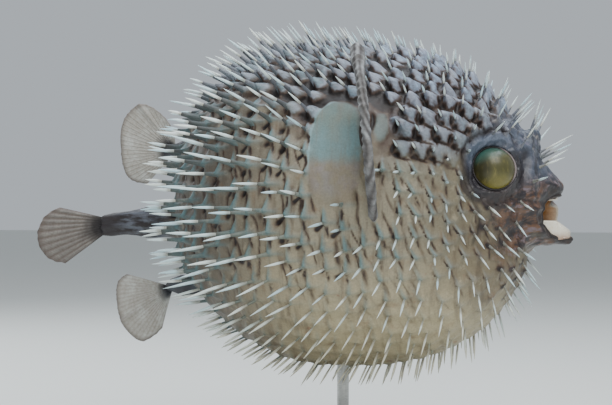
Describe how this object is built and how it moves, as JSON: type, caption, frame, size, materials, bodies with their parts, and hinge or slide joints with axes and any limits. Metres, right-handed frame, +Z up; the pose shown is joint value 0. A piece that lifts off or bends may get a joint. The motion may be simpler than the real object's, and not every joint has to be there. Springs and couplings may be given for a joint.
{
  "type": "porcupine pufferfish",
  "caption": "Dried, fully inflated porcupine pufferfish covered in long swept-back spines, mouth open, held up by one rod on a round display stand.",
  "frame": {"origin": "centre of the stand's flat underside, below the middle of the fish", "axes": "+X towards the fish's snout, +Y to the fish's left side, +Z up; the fish is symmetrical about the XZ plane"},
  "size_m": [0.2781, 0.2158, 0.2229],
  "materials": {
    "skin": "dried skin, satin, tan belly and dark slate back, with ivory spines",
    "fin": "dried fin membrane, matte, pleated along its rays",
    "eye": "glassy olive taxidermy eye",
    "beak": "smooth ivory tooth plate, satin gloss",
    "stand_base": "black-stained wood, satin",
    "stand_rod": "plain brushed steel"
  },
  "bodies": {
    "root": {"trunk": "skin", "head": "skin", "lower_jaw": "skin", "tail_peduncle": "skin", "beak_lower": "beak", "beak_upper": "beak", "eye_left": "eye", "eye_right": "eye", "dorsal_fin": "fin", "anal_fin": "fin", "caudal_fin": "fin", "pectoral_fin_left": "fin", "pectoral_fin_right": "fin", "stand_base": "stand_base", "stand_rod": "stand_rod"}
  },
  "joints": []
}
